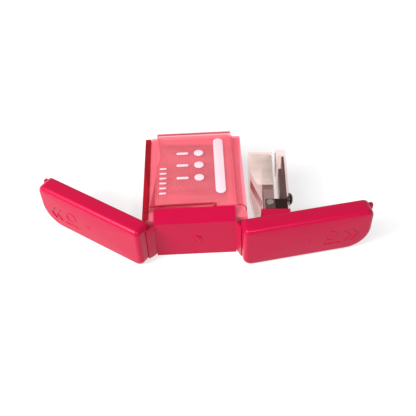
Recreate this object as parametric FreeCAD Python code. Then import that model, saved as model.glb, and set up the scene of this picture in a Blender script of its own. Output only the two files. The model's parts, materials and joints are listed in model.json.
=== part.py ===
"""Fold-out pocket stapler: a flat translucent case with a sliding lid, closed at both sides by
hollow wings on living hinges. A clear mini stapler stands on the right wing and swings into
the case as that wing shuts. Millimetres, +Z up; the origin is the centre of the case's flat
underside, -Y is the side with the front band.
"""
import FreeCAD, Part
import math
import os

V = FreeCAD.Vector

# Case, band and hinge lines
hinge_span = 44.0        # between the two vertical hinge lines
case_depth = 68.0        # front face of the band to the rear edge
case_side = 5.2          # how far the side walls stand outside the hinge lines
case_wall = 1.4
floor_wall = 1.8
post_front = 3.0         # corner posts, behind the front face
band_depth = 8.6
band_drop = 0.1          # the band's vertical face ends this far below the shoulders
band_rise = 2.9          # and its top slopes up by this much
band_wall = 1.8
bead_radius = 1.0        # thickened hinge line
window_side = 31.0       # window in the left wall for the stapler's nose
window_front = 14.0
window_sill = 7.0
strip_width = 3.2        # top bar of the left wall

# Wings
wing_height = 26.7
wing_front = 11.2        # outer face, outside the hinge line
wing_rim = 1.5           # open rim, outside the hinge line
wing_wall = 1.6
wing_end_wall = 1.3
wing_near_gap = 0.8      # near end, along the wing from the hinge line
wing_radii = (4.5, 18.0, 4.5, 3.0)   # near-low, far-low, far-high, near-high corners
wing_play = 0.6          # room between a wing's walls and the case inside it
wing_head = 0.9          # and above the shoulders
wing_inner_radius = 1.2  # the three small corners inside
wing_edge = 2.0
tab_length = 1.8
tab_height = 4.0
left_open = 55.4         # degrees from shut, as modelled
right_open = 81.0

# Lid
lid_left_in = 1.5        # its left edge inside the left hinge line; its right edge is on the other
lid_rise = 3.0           # above the shoulders
lid_wall = 1.3
lid_front = 11.6         # near edge, behind the front face
lid_tongue = 9.4
tongue_width = 10.4
access_half = 14.2       # opening under the lid
access_front = 15.0
access_rear = 60.0
rail_front = 14.0
rail_rear = 62.0
rail_wall = 1.4
rail_lip = 1.0

# Stapler, in its own frame: X across from handle to base, Y towards the nose, Z up
stapler_out = 6.4        # its frame's origin, outside the hinge line and behind the front face
stapler_y = 6.0
stapler_lean = 3.3       # degrees clockwise from +Y
stapler_low = 8.0
head_room = 0.7          # above it, under the case's top plate
shell_wall = 0.8
plate_wall = 1.0
handle_near = 5.0
handle_nose = 48.8
handle_edge = 13.6       # free edge of its side walls
handle_front_edge = 7.6
facet_near = 7.3         # how far the sloped facets reach across at the near end
facet_low = 10.2         # how far they reach down
base_inner = 15.8
base_outer = 21.4
base_nose = 51.8
nose_bevel = (3.0, 4.2)  # along and up, so that the nose passes the case's rounded corner
base_side = 1.0          # base stands in from the handle's outside
strip_thick = 1.3
pin_across = 11.0
pin_along = 9.0
pin_radius = 1.1
running = 0.05
mag_top = 7.7
mag_floor = 13.4
mag_near = 5.5
mag_nose = 47.6
mag_brow = 2.6            # how far the front wall is cut down for the blade
sheet = 0.6
staple_width = 8.6
staple_leg = 5.0
staple_wire = 0.5
strip_near = 33.0
strip_nose = 45.7
pusher_near = 27.0
seat_along = 11.2
core_nose = 45.4
rod_radius = 0.6
rod_across = 10.5
blade_along = 45.9
blade_thick = 0.5
rivet_along = 18.0
rivet_radius = 3.5
rivet_dome = 2.5
pad_near = 1.5
pad_far = 4.3

# Clearances
gap = 0.3                # between pieces that move past each other
slip = 0.1               # between pieces that slide on each other
seam = 0.2               # between fixed pieces

front_y = -case_depth / 2
hinge_x = hinge_span / 2
wing_length = case_depth + wing_end_wall
core_half = hinge_x + wing_rim - wing_play
case_half_width = hinge_x + case_side
case_top = wing_height - wing_wall - wing_head
apron = wing_wall + wing_play           # underside of the case's sides, over a wing's lower wall
apron_corner = wing_radii[1] - 1        # rounded lower rear corner of those sides
band_face = case_top - band_drop
band_top = band_face + band_rise
lid_left = lid_left_in - hinge_x
lid_right = hinge_x
lid_top = case_top + lid_rise
tongue_left = lid_right - tongue_width
tray_top = case_top - lid_wall
stapler_x = hinge_x + stapler_out
stapler_high = tray_top - head_room
mag_half = staple_width / 2 + sheet + gap
mid_z = (stapler_low + stapler_high) / 2
band_half = hinge_x - bead_radius
apron_rear = case_depth - 0.7


def box(x0, x1, y0, y1, z0, z1):
    """Block between two corners; y0 and y1 count from the band's front face."""
    return Part.makeBox(x1 - x0, y1 - y0, z1 - z0, V(x0, front_y + y0, z0))


def local(x0, x1, y0, y1, z0, z1):
    """Block between two corners in a piece's own frame."""
    return Part.makeBox(x1 - x0, y1 - y0, z1 - z0, V(x0, y0, z0))


def post(radius, x, y, z0, z1):
    return Part.makeCylinder(radius, z1 - z0, V(x, y, z0), V(0, 0, 1))


def prism(points, lift):
    """Solid from a closed outline carried along a vector."""
    return Part.Face(Part.makePolygon(points + [points[0]])).extrude(lift)


def rounded_slab(x0, x1, y0, y1, z0, z1, radii):
    """Slab from x0 to x1 with an outline in Y and Z that has four rounded corners."""
    corners = [(y0, z0, 1, 1), (y1, z0, -1, 1), (y1, z1, -1, -1), (y0, z1, 1, -1)]
    stops = []
    for number, ((y, z, sy, sz), r) in enumerate(zip(corners, radii)):
        upright = V(x0, y, z + sz * r)
        level = V(x0, y + sy * r, z)
        middle = V(x0, y + sy * r * (1 - math.sqrt(0.5)), z + sz * r * (1 - math.sqrt(0.5)))
        stops.append((upright, middle, level) if number % 2 == 0 else (level, middle, upright))
    edges = []
    for number, (start, middle, end) in enumerate(stops):
        edges.append(Part.Arc(start, middle, end).toShape())
        edges.append(Part.makeLine(end, stops[(number + 1) % 4][0]))
    return Part.Face(Part.Wire(edges)).extrude(V(x1 - x0, 0, 0))


def half_space(point, normal, size=200.0):
    """Large block whose face passes through a point, on the side that normal points to."""
    block = Part.makeBox(size, size, size, V(-size / 2, -size / 2, 0))
    block.Placement = FreeCAD.Placement(point, FreeCAD.Rotation(V(0, 0, 1), normal))
    return block


def union(shapes):
    return shapes[0].multiFuse(shapes[1:]).removeSplitter()


def in_case(shape):
    """Shape given with Y counted from the front face."""
    return shape.translated(V(0, front_y, 0))


def opened(shape, side):
    """A right-hand piece in its shut place, taken to the wing's place as modelled."""
    if side < 0:
        shape = shape.mirror(V(0, 0, 0), V(1, 0, 0))
    angle = left_open if side < 0 else -right_open
    return shape.rotated(V(side * hinge_x, front_y, 0), V(0, 0, 1), angle)


def on_stapler(shape):
    """Shape in the stapler's frame, taken to its place beside the case."""
    turned = shape.rotated(V(0, 0, 0), V(0, 0, 1), -stapler_lean)
    return turned.translated(V(stapler_x, front_y + stapler_y, 0))


def cross_pin_hole():
    return post(pin_radius + running, pin_across, pin_along, 0, 2 * stapler_high)


# Case


def front_band():
    """Moulded band with a vertical face, a sloped top and a thickened hinge line at each end."""
    lower = band_depth - case_wall
    outer = [V(-band_half, y, z) for y, z in
             ((0, 0), (lower, 0), (lower, band_wall), (band_depth, band_wall),
              (band_depth, band_top), (0, band_face))]
    inner = [V(-band_half + band_wall, y, z) for y, z in
             ((band_wall, band_wall), (band_depth + 1, band_wall),
              (band_depth + 1, band_top - band_wall), (band_wall, band_face - band_wall))]
    shell = prism(outer, V(2 * band_half, 0, 0)).cut(
        prism(inner, V(2 * (band_half - band_wall), 0, 0)))
    beads = [post(bead_radius, side * hinge_x, 0, 2 * bead_radius, band_face - bead_radius)
             for side in (-1, 1)]
    webs = [local(min(side * (band_half - seam), side * hinge_x),
                  max(side * (band_half - seam), side * hinge_x), 0, bead_radius / 2,
                  2 * bead_radius, band_face - bead_radius) for side in (-1, 1)]
    dimple = Part.makeCylinder(1.6, 0.4, V(0.7, -0.3, band_face / 2), V(0, 1, 0))
    return in_case(union([shell] + beads + webs + [dimple]))


def side_apron(side):
    """Floor, lower rear corner and rear wall of one side of the case."""
    inner_x = core_half - case_wall
    radii = (0.01, apron_corner, 0.01, 0.01)
    outer = rounded_slab(inner_x, case_half_width, post_front, apron_rear, apron, tray_top, radii)
    wall = case_wall
    radii = (0.01, apron_corner - wall, 0.01, 0.01)
    inner = rounded_slab(inner_x - 1, case_half_width + 1, post_front + wall, apron_rear - wall,
                         apron + wall, tray_top + 1, radii)
    cheek = local(case_half_width - wall, case_half_width, post_front, band_depth + seam,
                  apron, tray_top)
    shape = union([outer.cut(inner), cheek])
    return shape if side > 0 else shape.mirror(V(0, 0, 0), V(1, 0, 0))


def case_tray():
    """Floor, rear wall and a low inner front wall, open on the right side."""
    start = band_depth + seam
    pieces = [local(-core_half, core_half, start, case_depth, 0, floor_wall),
              local(-core_half, core_half, case_depth - case_wall, case_depth, 0, tray_top),
              local(-band_half + band_wall + seam, band_half - band_wall - seam,
                    band_depth - case_wall + seam, start, 0, tray_top - seam)]
    for side in (-1, 1):
        low, high = sorted((side * (core_half - case_wall), side * core_half))
        pieces.append(local(low, high, start, apron_rear - apron_corner, 0, apron + case_wall))
        pieces.append(side_apron(side))
    return in_case(union(pieces))


def left_wall():
    """Deep red side wall with a window for the stapler's nose and a broad top bar."""
    outside = -case_half_width
    start = band_depth + 2 * seam
    radii = (0.01, apron_corner - case_wall, 0.01, 0.01)
    wall = rounded_slab(outside, outside + case_wall, start, apron_rear - case_wall - seam,
                        apron + case_wall + seam / 2, tray_top, radii)
    window = local(outside - 1, outside + 2 * case_wall, window_front, window_front + window_side,
                   window_sill, tray_top)
    bar = local(outside, outside + strip_width, start, apron_rear, tray_top + seam / 4, case_top)
    neck = local(outside, outside + case_wall, start, window_front, tray_top - 1, case_top)
    return in_case(union([wall.cut(window), bar, neck]))


def case_top_frame():
    """Shoulder plate with an access opening and two lipped rails that hold the lid."""
    left = -case_half_width + strip_width + seam
    start = band_depth + seam
    over = tray_top + 0.02
    corner = core_half - case_wall
    plate = union([local(left, core_half, start, case_depth, over, case_top),
                   local(corner, case_half_width, post_front, apron_rear, over, case_top),
                   local(-case_half_width, -corner, post_front, start, over, case_top)])
    hole = local(-access_half, access_half, access_front, access_rear, over - 1, case_top + 1)
    pieces = [plate.cut(hole)]
    lip_top = lid_top - lid_wall - gap
    for side, edge in ((-1, -lid_left), (1, lid_right)):
        outer = edge - lid_wall - 2 * rail_lip + gap
        low, high = sorted((side * (outer - rail_wall), side * outer))
        pieces.append(local(low, high, rail_front, rail_rear, case_top - 0.1, lip_top))
        low, high = sorted((side * (outer - 0.1), side * (outer + rail_lip)))
        pieces.append(local(low, high, rail_front, rail_rear, lip_top - 0.5, lip_top))
    return in_case(union(pieces))


def lid():
    """Raised lid: a flat top, side skirts with inward lips under the rails, and a front tongue."""
    under = lid_top - lid_wall
    low = case_top + seam
    far = case_depth + gap
    outline = [V(x, y, under) for x, y in
               ((lid_left, lid_front), (tongue_left, lid_front), (tongue_left, lid_tongue),
                (lid_right, lid_tongue), (lid_right, far), (lid_left, far))]
    pieces = [prism(outline, V(0, 0, lid_wall))]
    for side, edge in ((-1, -lid_left), (1, lid_right)):
        inner = edge - lid_wall
        for a, b, top in ((inner, edge, under), (inner - rail_lip - gap, inner, low + 0.45)):
            x0, x1 = sorted((side * a, side * b))
            pieces.append(local(x0, x1, lid_front, far, low, top))
    pieces.append(local(lid_left, lid_right, far - lid_wall, far, low, under))
    pieces.append(local(-access_half, access_half, lid_front, lid_front + lid_wall, low, under))
    body = union(pieces)
    return in_case(body)


def refill_tray():
    """Shallow cradle on the floor for two spare sticks of staples."""
    base = local(-16, 16, 43, 65, floor_wall, floor_wall + 0.6)
    ribs = [local(-15, 15, y, y + 0.8, floor_wall, floor_wall + 3) for y in (43.4, 53.6, 63.8)]
    return in_case(union([base] + ribs))


def staple_stick(width, leg, length):
    """U section of joined staples, standing on its legs, centred on X, lying along Y."""
    outer = local(-width / 2, width / 2, 0, length, 0, leg)
    inner = local(-width / 2 + staple_wire, width / 2 - staple_wire, -1, length + 1,
                  -1, leg - staple_wire)
    return outer.cut(inner)


def refill_staples():
    sticks = []
    for y in (48.9, 59.1):
        stick = staple_stick(staple_width, staple_leg, 26.0).rotated(V(0, 0, 0), V(0, 0, 1), 90)
        sticks.append(stick.translated(V(13.0, front_y + y, floor_wall + 0.65)))
    return Part.makeCompound(sticks)


# Wings


def wing_shell(side):
    """Hollow moulding, open towards the case, with a latch tab at its far end."""
    rim, face = hinge_x + wing_rim, hinge_x + wing_front
    near = front_y + wing_near_gap
    far = front_y + wing_length
    outer = rounded_slab(rim, face, near, far, 0, wing_height, wing_radii)
    edges = [e for e in outer.Edges if all(abs(v.X - face) < 1e-6 for v in e.Vertexes)]
    outer = outer.makeFillet(wing_edge, edges)
    radii = [wing_inner_radius] * 4
    radii[1] = wing_radii[1] - wing_wall
    inner = rounded_slab(rim - 1, face - wing_wall, near + wing_wall, far - wing_end_wall,
                         wing_wall, wing_height - wing_wall, radii)
    top = wing_height - wing_radii[2]
    tab = Part.makeBox(2.4, wing_end_wall + tab_length, tab_height,
                       V(rim, far - wing_end_wall, top - tab_height / 2))
    shell = union([outer.cut(inner), tab])
    if side > 0:
        for hole in bracket_fixings(0.05, face - wing_wall + 1.0):
            shell = shell.cut(hole)
    return opened(shell, side)


# Bracket and its fixings


bracket_near = 14.0
bracket_far = 28.4
bracket_low = 8.2
bracket_high = 22.0
bracket_wall = 1.3
screw_radius = 0.9


def bracket_fixings(slack, tip):
    """Shanks of the two screws that go through the bracket's foot, in the shut place."""
    foot = hinge_x + wing_front - wing_wall - bracket_wall
    return [Part.makeCylinder(screw_radius + slack, tip - foot + 0.6,
                              V(foot - 0.6, front_y + y, mid_z), V(1, 0, 0))
            for y in (bracket_near + 3.6, bracket_far - 3.6)]


def stapler_bracket():
    """Foot inside the wing, two flanges and a pad that carries the stapler's base."""
    foot_x = hinge_x + wing_front - wing_wall
    reach = 5.0
    foot = box(foot_x - bracket_wall, foot_x, bracket_near, bracket_far, bracket_low, bracket_high)
    flanges = [box(hinge_x - reach, foot_x - 0.2, bracket_near, bracket_far, z, z + bracket_wall)
               for z in (bracket_low, bracket_high - bracket_wall)]
    holes = bracket_fixings(0.05, foot_x + 1)
    foot = foot.cut(holes[0]).cut(holes[1])
    placed = [opened(s, 1) for s in [foot] + flanges]
    pad = on_stapler(local(6.0, base_outer - seam / 2, pad_near, pad_far, bracket_low, bracket_high))
    clear = on_stapler(local(-30, 60, pad_far, 90, 0, 40))
    return union([s.cut(clear) for s in placed] + [pad])


def bracket_screws():
    foot = hinge_x + wing_front - wing_wall - bracket_wall
    screws = []
    for shank, y in zip(bracket_fixings(0, foot + bracket_wall + 0.9),
                        (bracket_near + 3.6, bracket_far - 3.6)):
        head = Part.makeCylinder(2 * screw_radius, 0.9, V(foot - 0.95, front_y + y, mid_z),
                                 V(1, 0, 0))
        slot = Part.makeBox(0.5, 3 * screw_radius, 0.5,
                            V(foot - 1.0, front_y + y - 1.5 * screw_radius, mid_z - 0.25))
        screws.append(opened(union([head, shank]).cut(slot), 1))
    return Part.makeCompound(screws)


# Stapler's base


def base_plate():
    """Steel strip with a bent foot and two ears that hold the cross pin."""
    low, high = stapler_low + base_side, stapler_high - base_side
    outer = base_outer - 1.2
    ear = 0.7
    strip = local(outer - strip_thick, outer, pad_far, base_nose - 4.8, low + 1, high - 1)
    foot = local(pin_across - 2.5, outer, pad_far, pad_far + 0.8, low, high)
    pieces = [strip, foot]
    for z in (low, high - ear):
        pieces.append(local(pin_across - 2.5, outer, pad_far, pin_along + 3.5, z, z + ear))
    pieces.append(local(outer - strip_thick, outer, pad_far, pin_along + 3.5, low, high))
    rivet = Part.makeCylinder(1.5 + running, 10, V(outer - 5, rivet_along, mid_z), V(1, 0, 0))
    return on_stapler(union(pieces).cut(cross_pin_hole()).cut(rivet))


def base_cover():
    """Clear cover over the base, with the table that carries the anvil at its nose."""
    low, high = stapler_low + base_side, stapler_high - base_side
    start = pin_along + 4.0
    table = 38.0
    outer = union([local(base_inner, base_outer, start, base_nose, low, high),
                   local(base_outer - 1, base_outer, pad_far + seam, start, low, high)])
    along, up = nose_bevel
    outline = [V(base_inner - 1, y, z) for y, z in
               ((base_nose + 1, low - 1), (base_nose - along, low - 1), (base_nose - along, low),
                (base_nose, low + up), (base_nose + 1, low + up))]
    bevel = prism(outline, V(base_outer - base_inner + 2, 0, 0))
    hollows = [local(base_inner - 1, base_outer - 1, start - 1, table,
                     low + shell_wall, high - shell_wall),
               local(base_inner + shell_wall, base_outer - 1, table - 1, base_nose - along - 1,
                     low + shell_wall, high - shell_wall)]
    rivet = Part.makeCylinder(1.5 + running, 10, V(base_outer - 5, rivet_along, mid_z), V(1, 0, 0))
    return on_stapler(outer.cut(hollows[0]).cut(hollows[1]).cut(bevel).cut(rivet))


def base_rail():
    """Dark stiffening bar along the inside of the base."""
    inner = base_inner + shell_wall + 0.1
    return on_stapler(local(inner, inner + 1.9, 19.0, 37.0, stapler_low + base_side + 1,
                            stapler_high - base_side - 1))


def base_rivet():
    """Domed rivet through the cover and the strip."""
    height = rivet_dome
    ball = (rivet_radius ** 2 + height ** 2) / (2 * height)
    dome = Part.makeSphere(ball, V(base_outer + height - ball, rivet_along, mid_z))
    dome = dome.common(local(base_outer, base_outer + 10, 0, 40, 0, 40))
    shank_start = base_outer - 1.2 - strip_thick - 0.3
    shank = Part.makeCylinder(1.5, base_outer - shank_start + 0.5,
                              V(shank_start, rivet_along, mid_z), V(1, 0, 0))
    return on_stapler(union([dome, shank]))


def anvil_plate():
    """Plate with two grooves that bend the staple's legs."""
    plate = local(base_inner - 0.5, base_inner, base_nose - 10.8, base_nose - 1.2,
                  mid_z - 4.9, mid_z + 4.9)
    for side in (-1, 1):
        z = mid_z + side * 3.4
        plate = plate.cut(local(base_inner - 0.7, base_inner - 0.25, blade_along - 0.5,
                                blade_along + 1.0, z - 1.2, z + 1.2))
    return on_stapler(plate)


def hinge_pin():
    """Cross pin with a flat head at each end."""
    low, high = stapler_low - running, stapler_high + running
    return on_stapler(union([post(pin_radius, pin_across, pin_along, low - 0.3, high + 0.3),
                             post(1.9, pin_across, pin_along, low - 0.3, low),
                             post(1.9, pin_across, pin_along, high, high + 0.3)]))


# Magazine


def magazine_channel():
    """Folded steel channel that holds the staples, with the exit slot at its nose."""
    low, high = mid_z - mag_half, mid_z + mag_half
    body = local(mag_top, mag_floor, mag_near, mag_nose, low, high)
    hollow = local(mag_top - 1, mag_floor - sheet, mag_near - 1, mag_nose - sheet,
                   low + sheet, high - sheet)
    brow = local(mag_top - 1, mag_top + mag_brow, mag_nose - 2 * sheet, mag_nose + 1, 0, 40)
    slot = local(mag_floor - 2 * sheet, mag_floor + 1, strip_nose + running, mag_nose - sheet,
                 low + sheet, high - sheet)
    return on_stapler(body.cut(hollow).cut(brow).cut(slot).cut(cross_pin_hole()))


def core_half_height():
    return staple_width / 2 - staple_wire - slip


def magazine_core():
    """Inner rail that the staples straddle, with the seats of the rod at both ends."""
    half = core_half_height()
    top, bottom = mag_top + 1.5, mag_floor - sheet - slip
    body = local(top, bottom, seat_along, core_nose, mid_z - half, mid_z + half)
    hollow = local(top - 1, bottom - sheet, seat_along + 0.8, core_nose - 0.8,
                   mid_z - half + 0.55, mid_z + half - 0.55)
    rod = Part.makeCylinder(rod_radius + running, 60, V(rod_across, 0, mid_z), V(0, 1, 0))
    return on_stapler(body.cut(hollow).cut(rod))


def staple_strip():
    """Stick of staples on the core, crowns towards the handle."""
    stick = staple_stick(staple_width, staple_leg, strip_nose - strip_near)
    stick = stick.rotated(V(0, 0, 0), V(0, 1, 0), -90)
    return on_stapler(stick.translated(V(mag_floor - sheet, strip_near, mid_z)))


def pusher():
    """Follower: a saddle over the core with a block that runs on the rod."""
    far = strip_near - slip
    half = core_half_height() - 0.55 - slip
    saddle = local(mag_top + 0.2, mag_top + 1.3, pusher_near, far,
                   mid_z - staple_width / 2, mid_z + staple_width / 2)
    block = local(mag_top + 1.2, mag_floor - 2 * sheet - 2 * slip, pusher_near, far,
                  mid_z - half, mid_z + half)
    rod = Part.makeCylinder(rod_radius + slip, 60, V(rod_across, 0, mid_z), V(0, 1, 0))
    return on_stapler(union([saddle, block]).cut(rod))


def pusher_rod():
    return on_stapler(Part.makeCylinder(rod_radius, core_nose - seat_along,
                                        V(rod_across, seat_along, mid_z), V(0, 1, 0)))


def pusher_spring():
    """Envelope of the coil spring on the rod."""
    start = seat_along + 0.8 + running
    length = pusher_near - running - start
    axis = (V(rod_across, start, mid_z), V(0, 1, 0))
    return on_stapler(Part.makeCylinder(1.6, length, *axis).cut(
        Part.makeCylinder(rod_radius + 0.2, length, *axis)))


# Handle


def handle_form(inset, near, nose, edge):
    """Box with a sloped facet along both long outer edges, shrunk by an inset."""
    low, high = stapler_low + inset, stapler_high - inset
    start = inset and plate_wall
    form = local(start, edge, near, nose, low, high)
    across, along = V(facet_near, handle_near - handle_nose, 0), V(0, -1, 0)
    drop = V(0, handle_near + 1.6 - handle_nose, -facet_low)
    for side in (1, -1):
        corner = V(0, handle_nose, mid_z + side * (stapler_high - mid_z))
        down = V(drop.x, drop.y, side * drop.z)
        outward = across.cross(down) * -side
        outward.normalize()
        form = form.cut(half_space(corner - outward * inset, outward))
    return form


def handle_shell():
    """Clear handle that straddles the magazine and the base."""
    outer = handle_form(0, handle_near, handle_nose, handle_edge)
    inner = handle_form(shell_wall, handle_near - 1, handle_nose - 0.9, handle_edge + 1)
    mouth = local(handle_front_edge, handle_edge + 1, handle_nose - 1, handle_nose + 1,
                  stapler_low + shell_wall, stapler_high - shell_wall)
    return on_stapler(outer.cut(inner).cut(mouth).cut(cross_pin_hole()))


def grip_panel():
    """Thin frosted panel on the handle's upper side."""
    z = stapler_high
    outline = [V(x, y, z) for x, y in ((1.8, 44), (13.0, 44), (13.0, 24), (5.2, 24))]
    return on_stapler(prism(outline, V(0, 0, 0.3)))


def driver_blade():
    """Blade that drives one staple out of the magazine."""
    return on_stapler(local(plate_wall, mag_top - 0.1, blade_along, blade_along + blade_thick,
                            mid_z - 4.1, mid_z + 4.1))


def return_spring():
    """Leaf spring from the handle down to the magazine beside the cross pin."""
    near, far = pin_along + 4, pin_along + 22
    outline = [V(x, y, mid_z - 2.6) for x, y in
               ((plate_wall, far), (plate_wall, far - 1.2), (mag_top - 1.1, near),
                (mag_top - 0.7, near), (mag_top - 0.7, near + 0.8))]
    return on_stapler(prism(outline, V(0, 0, 5.2)))


nodes = {
    "front_band": front_band(),
    "case_tray": case_tray(),
    "left_wall": left_wall(),
    "case_top_frame": case_top_frame(),
    "lid": lid(),
    "refill_tray": refill_tray(),
    "refill_staples": refill_staples(),
    "left_wing_shell": wing_shell(-1),
    "right_wing_shell": wing_shell(1),
    "stapler_bracket": stapler_bracket(),
    "bracket_screws": bracket_screws(),
    "base_plate": base_plate(),
    "base_cover": base_cover(),
    "base_rail": base_rail(),
    "base_rivet": base_rivet(),
    "anvil_plate": anvil_plate(),
    "hinge_pin": hinge_pin(),
    "magazine_channel": magazine_channel(),
    "magazine_core": magazine_core(),
    "staple_strip": staple_strip(),
    "pusher": pusher(),
    "pusher_rod": pusher_rod(),
    "pusher_spring": pusher_spring(),
    "handle_shell": handle_shell(),
    "grip_panel": grip_panel(),
    "driver_blade": driver_blade(),
    "return_spring": return_spring(),
}

os.makedirs("parts", exist_ok=True)
for name, shape in nodes.items():
    shape.exportStep(f"parts/{name}.step")
    print(f"{name:18s} solids {len(shape.Solids)} valid {shape.isValid()} mm3 {shape.Volume:9.1f}")
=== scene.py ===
import json
import math

import bmesh
import bpy
import numpy as np
from mathutils import Matrix, Vector

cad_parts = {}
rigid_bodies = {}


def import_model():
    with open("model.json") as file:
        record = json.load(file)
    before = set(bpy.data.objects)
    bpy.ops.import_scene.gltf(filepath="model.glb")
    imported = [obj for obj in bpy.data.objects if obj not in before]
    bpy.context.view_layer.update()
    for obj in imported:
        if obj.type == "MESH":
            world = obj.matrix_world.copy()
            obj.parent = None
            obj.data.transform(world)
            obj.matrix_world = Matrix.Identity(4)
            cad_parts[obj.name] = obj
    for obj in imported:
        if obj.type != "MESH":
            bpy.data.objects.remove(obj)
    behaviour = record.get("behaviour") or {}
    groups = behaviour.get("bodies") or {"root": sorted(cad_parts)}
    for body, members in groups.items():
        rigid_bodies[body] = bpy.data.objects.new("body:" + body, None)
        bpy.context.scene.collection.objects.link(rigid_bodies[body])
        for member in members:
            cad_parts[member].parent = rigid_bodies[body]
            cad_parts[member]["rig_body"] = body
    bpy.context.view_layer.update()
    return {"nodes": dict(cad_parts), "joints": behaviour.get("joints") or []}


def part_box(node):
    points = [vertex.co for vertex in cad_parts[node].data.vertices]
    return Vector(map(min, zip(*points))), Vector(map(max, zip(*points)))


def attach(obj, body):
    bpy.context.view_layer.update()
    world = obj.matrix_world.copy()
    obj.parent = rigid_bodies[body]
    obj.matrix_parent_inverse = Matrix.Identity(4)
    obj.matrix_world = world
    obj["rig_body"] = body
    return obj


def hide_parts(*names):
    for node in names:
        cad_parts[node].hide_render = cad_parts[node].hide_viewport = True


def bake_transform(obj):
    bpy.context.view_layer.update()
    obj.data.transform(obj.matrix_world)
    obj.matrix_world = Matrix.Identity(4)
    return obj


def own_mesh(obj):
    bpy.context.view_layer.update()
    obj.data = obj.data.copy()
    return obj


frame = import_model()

# ---- Table, light and camera
# A pale table in a light tent, itself faintly lit so that shadows stay soft. A broad key light
# and a window stand on the left and a strip in front. The camera looks down at the front band.
MM = 0.001
scene = bpy.context.scene
scene.view_settings.view_transform = "Standard"


class Value:
    """One number or colour in a material, on which + - * and powers add Math nodes."""

    def __init__(self, finish, socket):
        self.finish, self.socket = finish, socket

    def _with(self, operation, a, b):
        return self.finish.node("ShaderNodeMath", {"operation": operation}, {0: a, 1: b})

    def __add__(self, other):
        return self._with("ADD", self, other)

    def __radd__(self, other):
        return self._with("ADD", other, self)

    def __mul__(self, other):
        return self._with("MULTIPLY", self, other)

    def __rmul__(self, other):
        return self._with("MULTIPLY", other, self)

    def __pow__(self, other):
        return self._with("POWER", self, other)


class Finish:
    """One material: its nodes, and constants set on the shader's own sockets."""

    def __init__(self, name, **constants):
        self.material = bpy.data.materials.new(name)
        self.material.use_nodes = True
        self.tree = self.material.node_tree
        self.shader = self.tree.nodes["Principled BSDF"]
        for key, value in constants.items():
            self.shader.inputs[key.replace("_", " ")].default_value = value
        self.place = Value(self, self.tree.nodes.new("ShaderNodeTexCoord").outputs["Object"])

    def node(self, kind, settings=None, inputs=None, output=0):
        node = self.tree.nodes.new(kind)
        for key, value in (settings or {}).items():
            setattr(node, key, value)
        for key, value in (inputs or {}).items():
            if isinstance(value, Value):
                self.tree.links.new(value.socket, node.inputs[key])
            else:
                node.inputs[key].default_value = value
        return Value(self, node.outputs[output])

    def feed(self, name, value):
        self.tree.links.new(value.socket, self.shader.inputs[name])

    def noise(self, scale, detail=3.0, roughness=0.5, stretch=None):
        """Soft noise from 0 to 1; scale counts blobs per metre, stretch squeezes the axes."""
        place = self.place
        if stretch:
            place = self.node("ShaderNodeMapping", None, {"Vector": place, "Scale": stretch})
        return self.node("ShaderNodeTexNoise", None,
                         {"Vector": place, "Scale": scale, "Detail": detail, "Roughness": roughness})

    def tint(self, mask, low, high):
        """Colour between two others, chosen by a mask."""
        return self.node("ShaderNodeMix", {"data_type": "RGBA"},
                         {0: mask, 6: (*low, 1.0), 7: (*high, 1.0)}, 2)

    def relief(self, height, depth_mm, strength=1.0):
        self.feed("Normal", self.node("ShaderNodeBump", None, {
            "Height": height, "Distance": depth_mm * MM, "Strength": strength}))


floor_finish = Finish("table_paper", Roughness=0.85, Emission_Color=(1.0, 1.0, 1.0, 1.0),
                      Emission_Strength=0.62)
floor_finish.feed("Base Color", floor_finish.tint(floor_finish.noise(9.0), (0.33, 0.33, 0.33),
                                                  (0.35, 0.35, 0.35)))
floor_reach = 3.0
floor_mesh = bpy.data.meshes.new("floor")
floor_mesh.from_pydata([(-floor_reach, -floor_reach, -0.0001), (floor_reach, -floor_reach, -0.0001),
                        (floor_reach, floor_reach, -0.0001), (-floor_reach, floor_reach, -0.0001)],
                       [], [(0, 1, 2, 3)])
floor = bpy.data.objects.new("floor", floor_mesh)
scene.collection.objects.link(floor)
floor_mesh.materials.append(floor_finish.material)

world = bpy.data.worlds.new("tent")
world.use_nodes = True
world.node_tree.nodes["Background"].inputs["Color"].default_value = (1.0, 1.0, 1.0, 1.0)
world.node_tree.nodes["Background"].inputs["Strength"].default_value = 0.46
scene.world = world


def soft_light(name, place, watts, size):
    """Square area light at a place in metres, turned to the middle of the object."""
    data = bpy.data.lights.new(name, "AREA")
    data.energy, data.size = watts, size
    lamp = bpy.data.objects.new(name, data)
    lamp.location = place
    lamp.rotation_euler = (-Vector(place)).to_track_quat("-Z", "Y").to_euler()
    scene.collection.objects.link(lamp)


soft_light("window", (-0.46, -0.26, 0.38), 3.4, 0.13)
soft_light("front_strip", (0.13, -0.42, 0.44), 1.1, 0.06)

key_data = bpy.data.lights.new("key", "SUN")
key_data.energy, key_data.angle = 2.1, math.radians(42)
key = bpy.data.objects.new("key", key_data)
key.rotation_euler = Vector((0.62, 0.34, -0.74)).to_track_quat("-Z", "Y").to_euler()
scene.collection.objects.link(key)

camera_place = Vector((7.0, -258.0, 268.4)) * MM
camera_down, camera_roll = math.radians(46.2), math.radians(2.66)
level = Vector((0, math.sin(camera_down), math.cos(camera_down)))
ahead = Vector((0, math.cos(camera_down), -math.sin(camera_down)))
right = math.cos(camera_roll) * Vector((1, 0, 0)) - math.sin(camera_roll) * level
upward = math.sin(camera_roll) * Vector((1, 0, 0)) + math.cos(camera_roll) * level
camera_data = bpy.data.cameras.new("camera")
camera_data.lens, camera_data.sensor_width = 56.3, 36.0
camera_data.clip_start = 0.01
camera = bpy.data.objects.new("camera", camera_data)
camera.matrix_world = Matrix.Translation(camera_place) @ Matrix(
    (right, upward, -ahead)).transposed().to_4x4()
scene.collection.objects.link(camera)
scene.camera = camera

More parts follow.
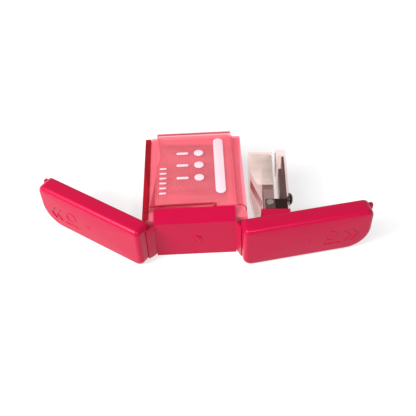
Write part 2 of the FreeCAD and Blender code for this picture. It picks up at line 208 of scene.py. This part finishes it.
# ---- Wings
# Hollow satin pink mouldings, open towards the case, with a crowned outer face, a soft edge and
# a thin rim. Each has a latch tab at its far end and raised grip marks. Thin webs join them to
# the front band, all in one moulding.
wing_rim, wing_face = 1.5, 11.2
wing_wall, wing_end_wall = 1.6, 1.3
wing_edge = 2.6
wing_crown = 0.35
wing_near, wing_far = 0.8, 69.3
wing_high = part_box("left_wing_shell")[1].z / MM
wing_corners = (4.5, 18.0, 4.5, 3.0)
inner_corners = (2.8, 18.0, 2.8, 2.8)
joints = {j["name"]: j for j in frame["joints"]}


def pink_finish(name, glow):
    """Satin plastic: base colour drifts with slow noise, with a fine moulded grain."""
    pink = Finish(name, Specular_IOR_Level=0.42, Specular_Tint=(1.0, 0.26, 0.38, 1.0))
    drift = pink.noise(38.0, 2.0) * 0.8 + pink.noise(900.0, 2.0) * 0.2
    low = tuple(c * 0.92 for c in glow)
    high = tuple(min(c * 1.08, 1.0) for c in glow)
    pink.feed("Base Color", pink.tint(drift, low, high))
    pink.feed("Roughness", 0.25 + pink.noise(420.0) * 0.10)
    pink.relief(pink.noise(2600.0, 2.0), 0.02, 0.5)
    return pink.material


pink = pink_finish("pink_plastic", (0.39, 0.002, 0.034))


def outline(x0, x1, y0, y1, radii, inset=0.0, steps=10, least=0.25):
    """Rounded rectangle, counter-clockwise: four quarter circles
    (c + r cos a, c + r sin a), joined by straights that are divided evenly."""
    x0, x1, y0, y1 = x0 + inset, x1 - inset, y0 + inset, y1 - inset
    room = min(x1 - x0, y1 - y0) / 2 - 0.01
    r = [max(min(v - inset, room), min(least, room)) for v in radii]
    if r[1] + r[2] > y1 - y0:
        r[1] = y1 - y0 - r[2]
    centres = [(x0 + r[0], y0 + r[0]), (x1 - r[1], y0 + r[1]),
               (x1 - r[2], y1 - r[2]), (x0 + r[3], y1 - r[3])]
    start = [math.pi, 1.5 * math.pi, 0.0, 0.5 * math.pi]
    sweep = np.linspace(0, 0.5 * math.pi, steps + 1)
    loops = [np.stack([c[0] + v * np.cos(a + sweep), c[1] + v * np.sin(a + sweep)], 1)
             for c, v, a in zip(centres, r, start)]
    rows = []
    share = np.linspace(0, 1, steps + 1)[1:-1, None]
    for here, following in zip(loops, loops[1:] + loops[:1]):
        rows += [here, here[-1] * (1 - share) + following[0] * share]
    return np.concatenate(rows)


def new_piece(name, vertices, faces, material, body, slot, smooth=40.0):
    """Mesh in millimetres made an object in metres that rides on a body."""
    mesh = bpy.data.meshes.new(name)
    mesh.from_pydata((np.asarray(vertices) * MM).tolist(), [], faces)
    mesh.update()
    return finished(name, mesh, material, body, smooth)


def finished(name, mesh, material, body, smooth=40.0):
    """The mesh painted and made an object that rides on a body. Edges sharper than the smooth
    angle stay sharp, and with no angle the mesh's own normals are kept."""
    if smooth:
        mesh.shade_smooth()
        mesh.set_sharp_from_angle(angle=math.radians(smooth))
    mesh.materials.clear()
    mesh.materials.append(material)
    piece = bpy.data.objects.new(name, mesh)
    scene.collection.objects.link(piece)
    if body:
        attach(piece, body)
    return piece


def loft(rings, place=None, flip=False):
    """Closed skin over rings of equal length; each end is a fan to its ring's middle."""
    rings = [np.asarray(r, float) for r in rings]
    count = len(rings[0])
    points = np.concatenate([rings[0].mean(0)[None]] + rings + [rings[-1].mean(0)[None]])
    if place is not None:
        points = place(points)
    faces = []
    for k in range(len(rings) - 1):
        a, b = 1 + k * count, 1 + (k + 1) * count
        faces += [(a + i, a + (i + 1) % count, b + (i + 1) % count, b + i) for i in range(count)]
    last = 1 + (len(rings) - 1) * count
    faces += [(0, 1 + (i + 1) % count, 1 + i) for i in range(count)]
    faces += [(len(points) - 1, last + i, last + (i + 1) % count) for i in range(count)]
    if flip:
        faces = [f[::-1] for f in faces]
    return points, faces


def on_wing(side):
    """Takes (along the wing, up, out from the hinge plane) to the part's frame, wing open:
    hinge + along (side sin a, cos a) + out (side cos a, -sin a)."""
    joint = joints["right_wing_hinge" if side > 0 else "left_wing_hinge"]
    swing = math.radians(abs(max(joint["range_deg"], key=abs)))
    hinge = np.array(joint["pos_m"]) / MM
    along = np.array([side * math.sin(swing), math.cos(swing), 0])
    out = np.array([side * math.cos(swing), -math.sin(swing), 0])

    def place(points):
        s, z, q = np.asarray(points).T
        spot = np.array([hinge[0], hinge[1], 0.0])
        return spot + s[:, None] * along + q[:, None] * out + z[:, None] * np.array([0, 0, 1.0])

    return place


def wing_ring(inset, out, shrink=0.0, inner=False):
    """One ring of the wing's skin: the outline moved in by an inset, then towards its middle."""
    corners = inner_corners if inner else wing_corners
    far = wing_far + (wing_wall - wing_end_wall if inner else 0)
    flat = outline(wing_near, far, 0, wing_high, corners, inset)
    middle = flat.mean(0)
    flat = middle + (flat - middle) * (1 - shrink)
    return np.column_stack([flat, np.full(len(flat), out)])


def wing(side, name, node, body):
    """Skin from the middle of the outer face, over the soft edge, round the rim, to the inside."""

    def crown(t):
        return wing_face - wing_crown * (1 - t) ** 2

    rings = [wing_ring(wing_edge, crown(t), t) for t in (0.97, 0.8, 0.6, 0.4, 0.25, 0.12, 0.05)]
    base = wing_face - wing_crown - wing_edge
    bend = np.linspace(math.pi / 2, 0, 9)
    rings += [wing_ring(wing_edge * (1 - math.cos(a)), base + wing_edge * math.sin(a))
              for a in bend]
    rings += [wing_ring(0, q) for q in (6.0, 3.5, wing_rim + 0.35)]
    lip = np.linspace(0, math.pi, 7)
    half = wing_wall / 2
    for a in lip[1:]:
        inset = half * (1 - math.cos(a))
        rings.append(wing_ring(inset, wing_rim + 0.35 * (1 - math.sin(a)), inner=inset > half))
    floor_q = wing_face - wing_wall
    rings += [wing_ring(wing_wall, q, inner=True) for q in (4.0, floor_q - 0.9)]
    rings += [wing_ring(wing_wall + 0.3, floor_q - 0.3, inner=True),
              wing_ring(wing_wall + 0.9, floor_q, inner=True)]
    rings += [wing_ring(wing_wall + 0.9, floor_q, t, inner=True) for t in (0.3, 0.7, 0.97)]
    points, faces = loft(rings, on_wing(side), flip=side > 0)
    piece = new_piece(name, points, faces, pink, body, "pink_plastic", 60.0)
    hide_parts(node)
    return piece


wing(-1, "wing_left", "left_wing_shell", "left_wing")
wing(1, "wing_right", "right_wing_shell", "right_wing")


def soft_block(x0, x1, y0, y1, z0, z1, radii, ease=0.3):
    """Rings of a slab in (x, y) with rounded corners and eased edges, from z0 to z1."""
    turn = np.linspace(0, math.pi / 2, 4)
    insets = [ease * (1 - math.sin(a)) for a in turn]
    rises = [ease * (1 - math.cos(a)) for a in turn]
    low = [(i, z0 + r) for i, r in zip(insets, rises)]
    high = [(i, z1 - r) for i, r in zip(insets, rises)][::-1]
    return [np.column_stack([flat, np.full(len(flat), z)])
            for i, z in low + high
            for flat in [outline(x0, x1, y0, y1, radii, i, 5, 0.08)]]


def tube(path, radius, sides=10):
    """Round bar along a path of points, with closed ends: at each point a circle in the plane
    across the path, turned about the axis the path runs along least. Radius may vary."""
    path = np.asarray(path, float)
    radius = np.broadcast_to(radius, len(path))
    ahead = np.gradient(path, axis=0)
    ahead /= np.linalg.norm(ahead, axis=1)[:, None]
    helper = np.eye(3)[np.abs(ahead).max(0).argmin()]
    one = np.cross(ahead, helper)
    one /= np.linalg.norm(one, axis=1)[:, None]
    two = np.cross(ahead, one)
    turn = np.arange(sides) * 2 * math.pi / sides
    return [p + r * (np.cos(turn)[:, None] * a + np.sin(turn)[:, None] * b)
            for p, r, a, b in zip(path, radius, one, two)]


def joined(parts):
    """Several (points, faces) meshes as one."""
    points, faces, count = [], [], 0
    for p, f in parts:
        points.append(p)
        faces += [tuple(i + count for i in face) for face in f]
        count += len(p)
    return np.concatenate(points), faces


def turned_out(piece):
    """Faces recalculated to point outwards on a closed piece."""
    bm = bmesh.new()
    bm.from_mesh(piece.data)
    bmesh.ops.recalc_face_normals(bm, faces=bm.faces)
    bm.to_mesh(piece.data)
    bm.free()
    return piece


mark_face = wing_face - wing_crown * 0.35
mark_wire = 0.32


def grip_marks(side, body):
    """Two raised chevrons and a ring of fine bead, half sunk in the face, and a gate mark."""
    place = on_wing(side)
    parts = []
    for s in (54.5, 58.5):
        chevron = [(s, 7.5), (s + 1.6, 9.4), (s + 3.2, 11.4), (s + 1.6, 13.4), (s, 15.3)]
        parts.append([(a, b, mark_face) for a, b in chevron])
    turn = np.linspace(0, 2 * math.pi, 25)
    ring_s, ring_z, ring_radius = 47.0, 13.5, 3.2
    parts.append([(ring_s + ring_radius * math.cos(a), ring_z + ring_radius * math.sin(a), mark_face)
                  for a in turn])
    bar_s, bar_z, bar_long = 43.5, 7.4, 9.0
    parts.append([(bar_s + t * bar_long, bar_z, mark_face) for t in np.linspace(0, 1, 5)])
    gate_s, gate_z, gate_radius, gate_sunk = 35.0, 13.0, 1.0, 0.05
    parts.append([(gate_s + gate_radius * math.cos(a), gate_z + gate_radius * math.sin(a),
                   mark_face - gate_sunk) for a in turn])
    meshes = [loft(tube(p, mark_wire, 10), place) for p in parts]
    piece = new_piece(f"{body}_grip_marks", *joined(meshes), pink, body, "pink_plastic")
    turned_out(piece)


def latch_tab(side, body):
    """Short tongue near the rim that catches the other wing when both are shut."""
    sunk, reach, thick = 1.0, 1.75, 2.4
    tab_low, tab_high = 20.3, 24.1
    slab = soft_block(wing_far - sunk, wing_far + reach, wing_rim, wing_rim + thick,
                      tab_low, tab_high, (0.5,) * 4, 0.4)
    rings = [r[:, [0, 2, 1]] for r in slab]
    piece = new_piece(f"{body}_latch_tab", *loft(rings, on_wing(side)), pink, body, "pink_plastic")
    turned_out(piece)


for side, body in ((-1, "left_wing"), (1, "right_wing")):
    grip_marks(side, body)
    latch_tab(side, body)

# ---- Front band and its living hinges
# Opaque band of the same pink plastic, moulded in one with the wings: a vertical face with a
# gate mark, a sloped top, and at each end a thin web shaped for the open wing and fixed there.


def with_modifier(mesh, kind, **settings):
    """The mesh with one modifier applied."""
    helper = bpy.data.objects.new("helper", mesh)
    scene.collection.objects.link(helper)
    modifier = helper.modifiers.new("helper", kind)
    for key, value in settings.items():
        setattr(modifier, key, value)
    depsgraph = bpy.context.evaluated_depsgraph_get()
    result = bpy.data.meshes.new_from_object(helper.evaluated_get(depsgraph))
    bpy.data.objects.remove(helper)
    return result


def eased(node, radius, material, segments=3, sharp=30.0):
    """The frame's own solid with its edges rounded: doubles merged, flat faces joined, a bevel,
    slivers cleared, and normals weighted by area so that flat faces look flat."""
    source = frame["nodes"][node]
    bm = bmesh.new()
    bm.from_mesh(source.data)
    bmesh.ops.remove_doubles(bm, verts=bm.verts, dist=2e-6)
    bmesh.ops.dissolve_limit(bm, angle_limit=math.radians(1.0), verts=bm.verts, edges=bm.edges)
    mesh = bpy.data.meshes.new(f"{node}_finished")
    bm.to_mesh(mesh)
    bm.free()
    mesh = with_modifier(mesh, "BEVEL", width=radius * MM, segments=segments,
                         limit_method="ANGLE", angle_limit=math.radians(sharp),
                         use_clamp_overlap=True, miter_outer="MITER_ARC")
    bm = bmesh.new()
    bm.from_mesh(mesh)
    bmesh.ops.remove_doubles(bm, verts=bm.verts, dist=1e-6)
    bmesh.ops.dissolve_degenerate(bm, dist=1e-7, edges=bm.edges)
    bm.to_mesh(mesh)
    bm.free()
    mesh.shade_smooth()
    mesh = with_modifier(mesh, "WEIGHTED_NORMAL", keep_sharp=True)
    piece = finished(f"{node}_finished", mesh, material, source["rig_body"], None)
    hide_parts(node)
    return piece


eased("front_band", 0.55, pink, 4)


def turned_part(profile, spot, axis, one, two, sides=48):
    """Surface of revolution: circles of the profile's radii at its heights along an axis."""
    turn = np.arange(sides) * 2 * math.pi / sides
    return loft([spot + h * axis + r * (np.cos(turn)[:, None] * one + np.sin(turn)[:, None] * two)
                 for r, h in profile])


up = np.array([0, 0, 1.0])
outwards = np.array([0, -1.0, 0])
sideways = np.array([1.0, 0, 0])
band_face_y = -34.0
gate_spot = np.array([0.7, band_face_y, 12.05])
gate_profile = [(2.3, -0.2), (2.3, 0.0), (2.15, 0.4), (1.85, 0.55), (1.55, 0.4), (1.35, 0.04),
                (0.8, 0.04), (0.7, 0.35), (0.45, 0.55), (0.2, 0.6)]
gate_skin = turned_part(gate_profile, gate_spot, outwards, sideways, up, 40)
turned_out(new_piece("band_gate_mark", *gate_skin, pink, "case", "pink_plastic"))


def hinge_web(side, body):
    """Thin sheet from the band's corner to the wing's near end; its middle line is the
    quadratic curve through the corner, a point outside the hinge line, and the wing."""
    hinge = np.array(joints[f"{body}_hinge"]["pos_m"]) / MM
    place = on_wing(side)
    start = hinge * (1, 1, 0) + (side * -0.7, 0.25, 0)
    end = place([(1.0, 0, 4.6)])[0]
    bend = hinge * (1, 1, 0) + (side * 0.1, -1.1, 0)
    t = np.linspace(0, 1, 13)[:, None]
    line = (1 - t) ** 2 * start + 2 * t * (1 - t) * bend + t ** 2 * end
    ahead = np.gradient(line, axis=0)
    across = np.cross(ahead, (0, 0, 1.0))
    across /= np.linalg.norm(across, axis=1)[:, None]
    half_thick = 0.55
    web_low, web_high = 1.8, 23.7
    rings = []
    for p, a in zip(line, across):
        section = outline(-half_thick, half_thick, web_low, web_high, (0.4,) * 4, 0, 3)
        rings.append(p + section[:, :1] * a + section[:, 1:] * np.array([0, 0, 1.0]))
    piece = new_piece(f"{body}_hinge_web", *loft(rings), pink, None, "pink_plastic")
    turned_out(piece)
    end * MM
    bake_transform(piece)


hinge_web(-1, "left_wing")
hinge_web(1, "right_wing")

# ---- Case
# Moulded tray, shoulders and lid of tinted clear plastic: the tray and the shoulders red, the lid
# a lighter rose that slides to the rear. The left side wall is a deep red that reads as a dark
# stripe, and thin dark lines show where the mouldings meet or bend.


def clear_finish(name, body_colour, through, rough, veil, rim):
    """Clear plastic: a tinted see-through layer under a glossy one. The glossy layer's share is
    veil seen square on and rises to veil + rim towards grazing, with faint moulding streaks."""
    clear = Finish(name, Roughness=rough, IOR=1.5)
    flow = clear.noise(26.0, 3.0, 0.6, (1.0, 5.0, 1.0))
    clear.feed("Base Color", clear.tint(flow, tuple(c * 0.88 for c in body_colour), body_colour))
    clear.relief(clear.noise(60.0, 1.0), 0.03, 0.35)
    window = clear.tree.nodes.new("ShaderNodeBsdfTransparent")
    window.inputs["Color"].default_value = (*through, 1.0)
    facing = clear.node("ShaderNodeLayerWeight", None, {"Blend": 0.35}, 1)
    share = veil * (0.6 + flow * 0.8) + facing ** 2.5 * rim
    mix = clear.tree.nodes.new("ShaderNodeMixShader")
    clear.tree.links.new(share.socket, mix.inputs[0])
    clear.tree.links.new(window.outputs[0], mix.inputs[1])
    clear.tree.links.new(clear.shader.outputs[0], mix.inputs[2])
    clear.tree.links.new(mix.outputs[0], clear.tree.nodes["Material Output"].inputs["Surface"])
    return clear.material


milky = clear_finish("red_tint_tray", (1.0, 0.22, 0.30), through=(0.998, 0.66, 0.73),
                     rough=0.12, veil=0.46, rim=0.30)
red_tint = clear_finish("red_tint_plastic", (1.0, 0.24, 0.30), through=(0.998, 0.76, 0.82),
                        rough=0.10, veil=0.32, rim=0.35)
rose_clear = clear_finish("rose_clear_plastic", (1.0, 0.25, 0.30), through=(0.998, 0.80, 0.84),
                          rough=0.08, veil=0.29, rim=0.30)
deep_red = clear_finish("deep_red_plastic", (0.42, 0.003, 0.022), through=(0.72, 0.05, 0.12),
                        rough=0.12, veil=0.40, rim=0.30)

eased("case_tray", 0.35, milky)
eased("left_wall", 0.35, deep_red)
eased("case_top_frame", 0.3, red_tint)
eased("lid", 0.3, rose_clear)
eased("refill_tray", 0.25, red_tint)

wall_low, wall_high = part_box("left_wall")
wall_left, wall_near, wall_top = wall_low.x / MM, wall_low.y / MM, wall_high.z / MM
cap_wide, cap_near, cap_far, cap_proud = 3.2, wall_near - 5.9, wall_near + 0.6, 0.2
cap_rings = soft_block(wall_left, wall_left + cap_wide, cap_near, cap_far, wall_top - 0.3,
                       wall_top + cap_proud, (1.2, 1.2, 0.3, 0.3), 0.12)
cap = new_piece("left_wall_cap", *loft(cap_rings), deep_red, "case", "deep_red_plastic")
turned_out(cap)

lid_low, lid_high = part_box("lid")
lid_top = lid_high.z / MM
seam_path = [(-23.2, -23.1), (-16.0, -22.9), (-8.0, -22.75), (2.0, -22.6), (9.6, -22.45),
             (10.9, -22.7), (11.4, -23.5), (11.1, -24.4), (9.8, -24.7)]
seam_line = [(x, y, lid_top - 0.9) for x, y in seam_path]
line_red = clear_finish("line_red_plastic", (0.36, 0.003, 0.022), through=(0.80, 0.08, 0.16),
                        rough=0.12, veil=0.9, rim=0.1)
near_seam = new_piece("lid_near_seam", *loft(tube(seam_line, 0.42, 10)), line_red, "lid",
                      "deep_red_plastic")
far_y = lid_high.y / MM
rear_bar = [(x, far_y - 0.55, lid_top - 0.6)
            for x in (lid_low.x / MM + 0.5, 0, lid_high.x / MM - 0.5)]
rear_seam = new_piece("lid_rear_seam", *loft(tube(rear_bar, 0.5, 10)), line_red, "lid",
                      "deep_red_plastic")
fold_path = [(-19.7, 33.4), (-19.2, 28.0), (-18.5, 22.0), (-17.9, 17.0), (-17.9, 13.5),
             (-18.6, 10.0), (-19.5, 6.0), (-19.9, 0.0), (-20.0, -10.0), (-20.0, -21.0)]
fold_line = [(x, y, lid_top - 0.35) for x, y in fold_path]
side_fold = new_piece("lid_side_fold", *loft(tube(fold_line, 0.26, 10)), line_red, "lid",
                      "deep_red_plastic")
bend_path = [(22.9, -22.2), (24.6, -22.4), (26.0, -23.2), (26.7, -24.6), (26.8, -26.4)]
bend_line = [(x, y, wall_top - 0.12) for x, y in bend_path]
shoulder_fold = new_piece("shoulder_fold", *loft(tube(bend_line, 0.34, 10)), line_red, "case",
                          "deep_red_plastic")
for piece in (near_seam, rear_seam, side_fold, shoulder_fold):
    turned_out(piece)

# ---- Print on the lid
# Off-white screen print: a plain long bar, three discs each with a short dash, and a column of
# ticks, all generic marks.
ink = Finish("screen_print", Roughness=0.55)
ink.feed("Base Color", ink.tint(ink.noise(700.0, 4.0), (0.66, 0.46, 0.51), (0.74, 0.55, 0.60)))
ink.relief(ink.noise(1800.0), 0.01, 0.4)


def print_bar(x0, x1, y0, y1, thick=0.05):
    """Flat bar with round ends, lying on the lid."""
    round_end = (min(x1 - x0, y1 - y0) / 2,) * 4
    return loft(soft_block(x0, x1, y0, y1, lid_top - 0.01, lid_top + thick, round_end, 0.02))


marks = [print_bar(11.6, 16.9, -16.2, 28.0)]
for y in (16.3, 6.5, -3.5):
    marks.append(print_bar(0.5, 5.7, y - 2.5, y + 2.5))
    marks.append(print_bar(-9.2, -2.6, y - 0.9, y + 0.9))
for step in range(6):
    y = -14.6 + step * 3.8
    marks.append(print_bar(-18.4, -14.6, y - 0.6, y + 0.6))
new_piece("lid_print", *joined(marks), ink.material, "lid", "rose_clear_plastic")

# ---- Spare staples and staple stick
# Zinc-plated wire staples glued side by side into sticks: each is a square-cut U of 0.5 mm wire.
# Two sticks lie loose in the refill tray under the lid.
staple_width, staple_leg, staple_wire = 8.6, 5.0, 0.5


def metal_finish(name, colour, rough, streak=0.1, **more):
    """Rolled metal: fine streaks along the sheet in colour, gloss and relief."""
    metal = Finish(name, **{"Metallic": 1.0, **more})
    lines = metal.noise(900.0, 4.0, 0.6, (1.0, 0.025, 1.0))
    metal.feed("Base Color", metal.tint(lines, tuple(c * (1 - 2 * streak) for c in colour), colour))
    metal.feed("Roughness", rough - 0.06 + lines * 0.14)
    metal.relief(lines, 0.01, 0.4)
    return metal.material


zinc = metal_finish("staple_wire", (0.92, 0.90, 0.89), 0.26, streak=0.05, Metallic=0.7)


def staple(width, leg, wire, length):
    """One staple: a square wire carried along a U with small bends, in (across, up), its
    thickness along the stick."""
    r = 0.35
    path = np.array([(-width / 2, 0), (-width / 2, leg - r), (-width / 2 + r * 0.3, leg - r * 0.3),
                     (-width / 2 + r, leg), (width / 2 - r, leg),
                     (width / 2 - r * 0.3, leg - r * 0.3), (width / 2, leg - r), (width / 2, 0)])
    ahead = np.gradient(path, axis=0)
    ahead /= np.linalg.norm(ahead, axis=1)[:, None]
    inward = np.column_stack([ahead[:, 1], -ahead[:, 0]])
    half, ease = length / 2, length * 0.16
    corners = [(0, -half + ease), (ease, -half), (wire - ease, -half), (wire, -half + ease),
               (wire, half - ease), (wire - ease, half), (ease, half), (0, half - ease)]
    return [np.array([(p[0] + d * n[0], y, p[1] + d * n[1]) for d, y in corners])
            for p, n in zip(path, inward)]


def stick(count, pitch, place):
    """Staples side by side; place takes (across, along, up) to the part's frame."""
    rings = staple(staple_width, staple_leg, staple_wire, pitch * 0.97)
    return joined([loft([r + np.array([0, (k + 0.5) * pitch, 0]) for r in rings], place)
                   for k in range(count)])


refill_low, refill_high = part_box("refill_staples")
refill_count = 52
refill_pitch = (refill_high.x - refill_low.x) / MM / refill_count
sticks = []
for y in (refill_low.y / MM + staple_width / 2, refill_high.y / MM - staple_width / 2):
    sticks.append(stick(refill_count, refill_pitch, lambda p, y=y: np.column_stack(
        [refill_low.x / MM + p[:, 1], y + p[:, 0], refill_low.z / MM + p[:, 2]])))
refills = new_piece("refill_sticks", *joined(sticks), zinc, "case", "staple_wire")
turned_out(refills)
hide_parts("refill_staples")

# ---- Bracket
# Moulded pink plastic arm that stands inside the right wing and carries the stapler. Two small
# steel screws hold its foot to the wing.
bright_steel = metal_finish("bright_steel", (0.66, 0.56, 0.55), 0.20)
eased("stapler_bracket", 0.35, pink)
eased("bracket_screws", 0.12, bright_steel, 2)

# ---- Stapler base
# Clear cover over a blackened steel strip with bent ears, a stiffening bar, an anvil plate and
# a domed rivet. Its own frame: across from the handle to the base, along to the nose, and up.
backwards = Vector(joints["pusher_slide"]["axis"])
along = np.array([-backwards.x, -backwards.y, 0.0])
across = np.array([along[1], -along[0], 0.0])
pin_across, pin_along = 11.0, 9.0
pin_spot = np.array(joints["handle_pivot"]["pos_m"]) / MM
middle_z = pin_spot[2]
stapler_origin = pin_spot * (1, 1, 0) - across * pin_across - along * pin_along


def on_stapler(points):
    """Takes (across, along, up) to the part's frame."""
    points = np.asarray(points, float)
    return (stapler_origin + points[:, :1] * across + points[:, 1:2] * along
            + points[:, 2:] * np.array([0, 0, 1.0]))


clear = clear_finish("clear_plastic", (0.92, 0.62, 0.60), through=(0.985, 0.91, 0.90),
                     rough=0.06, veil=0.028, rim=0.50)
dark_steel = metal_finish("dark_steel", (0.020, 0.008, 0.006), 0.3, streak=0.2,
                          Metallic=0.0, Specular_IOR_Level=0.15)
black_gloss = metal_finish("black_gloss_steel", (0.008, 0.007, 0.007), 0.14, streak=0.05,
                           Metallic=0.0, Specular_IOR_Level=0.4)

eased("base_cover", 0.3, clear)
eased("base_plate", 0.12, dark_steel, 2)
eased("base_rail", 0.15, dark_steel, 2)
eased("anvil_plate", 0.06, bright_steel, 2)

cover_face, rivet_along = 21.4, 18.0
rivet_spot = on_stapler([(cover_face, rivet_along, middle_z)])[0]
dome = [(3.5 * math.cos(a) ** 0.8, 0.25 + 2.2 * math.sin(a))
        for a in np.linspace(0, math.pi / 2 - 0.08, 10)]
rivet_profile = [(1.5, -2.6), (1.5, -0.02), (3.3, 0.0), (3.5, 0.12)] + dome
rivet = new_piece("base_rivet_dome", *turned_part(rivet_profile, rivet_spot, across, along, up),
                  black_gloss, "right_wing", "dark_steel")
turned_out(rivet)
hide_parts("base_rivet")

pin_low, pin_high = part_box("hinge_pin")
half_pin = (pin_high.z - pin_low.z) / 2 / MM
shank, head, head_thick = 1.1, 1.9, 0.3
pin_profile = [(1.7, -half_pin), (head, -half_pin + 0.12), (head, -half_pin + head_thick),
               (shank, -half_pin + head_thick), (shank, half_pin - head_thick),
               (head, half_pin - head_thick), (head, half_pin - 0.12), (1.7, half_pin),
               (0.8, half_pin), (0.6, half_pin - 0.15)]
pin = new_piece("cross_pin", *turned_part(pin_profile, pin_spot, up, across, along, 32),
                bright_steel, "right_wing", "bright_steel")
turned_out(pin)
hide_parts("hinge_pin")

# ---- Magazine
# Folded steel channel with an inner rail, a stick of staples, a pink follower on a rod, and
# the coil spring that pushes it.
eased("magazine_channel", 0.12, bright_steel, 2)
eased("magazine_core", 0.1, bright_steel, 2)
eased("pusher", 0.25, pink)
rod_across = 10.5
rod_line = [(rod_across, y, middle_z) for y in (11.2, 11.5, 30.0, 45.1, 45.4)]
rod = new_piece("follower_rod", *loft(tube(on_stapler(rod_line), (0.4, 0.6, 0.6, 0.6, 0.4), 16)),
                bright_steel, "magazine", "bright_steel")
turned_out(rod)
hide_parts("pusher_rod")

channel_floor, stick_near, stick_nose = 12.8, 33.0, 45.7
loaded_count = 25
loaded = new_piece("loaded_staples", *stick(loaded_count, (stick_nose - stick_near) / loaded_count,
                   lambda p: on_stapler(np.column_stack([channel_floor - p[:, 2],
                                                         stick_near + p[:, 1],
                                                         middle_z + p[:, 0]]))),
                   zinc, "magazine", "staple_wire")
turned_out(loaded)
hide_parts("staple_strip")

spring_near, spring_far, spring_turns = 12.3, 26.7, 11
coil_radius, coil_wire = 1.35, 0.2
t = np.linspace(0, 1, spring_turns * 18)
wind = 2 * math.pi * spring_turns * t
coil = on_stapler(np.column_stack([rod_across + coil_radius * np.cos(wind),
                                   spring_near + (spring_far - spring_near) * t,
                                   middle_z + coil_radius * np.sin(wind)]))
spring = new_piece("follower_spring", *loft(tube(coil, coil_wire, 8)), bright_steel, "magazine",
                   "bright_steel")
turned_out(spring)
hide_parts("pusher_spring")
travel = joints["pusher_slide"]["range_m"][1] / MM
tuple(coil[0] * MM)
1 - (travel + 0.2) / (spring_far - spring_near + 0.4)
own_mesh(spring)

# ---- Handle
# Clear handle that straddles the magazine, with a sloped facet, a frosted panel, the driver
# blade and a leaf spring.
frost = clear_finish("frosted_plastic", (0.76, 0.64, 0.585), through=(0.95, 0.90, 0.88),
                     rough=0.40, veil=0.46, rim=0.30)
eased("handle_shell", 0.3, clear)
panel_low, panel_high = (v.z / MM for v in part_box("grip_panel"))
panel_edge = np.array([(12.1, 46.6), (12.9, 46.1), (13.2, 45.2), (13.2, 22.6), (12.8, 22.1),
                       (4.9, 22.1), (4.4, 22.6), (0.9, 32.4), (0.7, 33.5), (0.7, 46.0),
                       (1.0, 46.6)])
panel_rings = [np.column_stack([panel_edge.mean(0) + (panel_edge - panel_edge.mean(0)) * k,
                                np.full(len(panel_edge), z)])
               for k, z in ((1.0, panel_low), (1.0, panel_high - 0.1), (0.985, panel_high))]
panel = new_piece("handle_panel", *loft(panel_rings, on_stapler), frost, "handle", "frosted_plastic")
turned_out(panel)
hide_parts("grip_panel")
eased("driver_blade", 0.08, bright_steel, 2)
eased("return_spring", 0.06, bright_steel, 2)
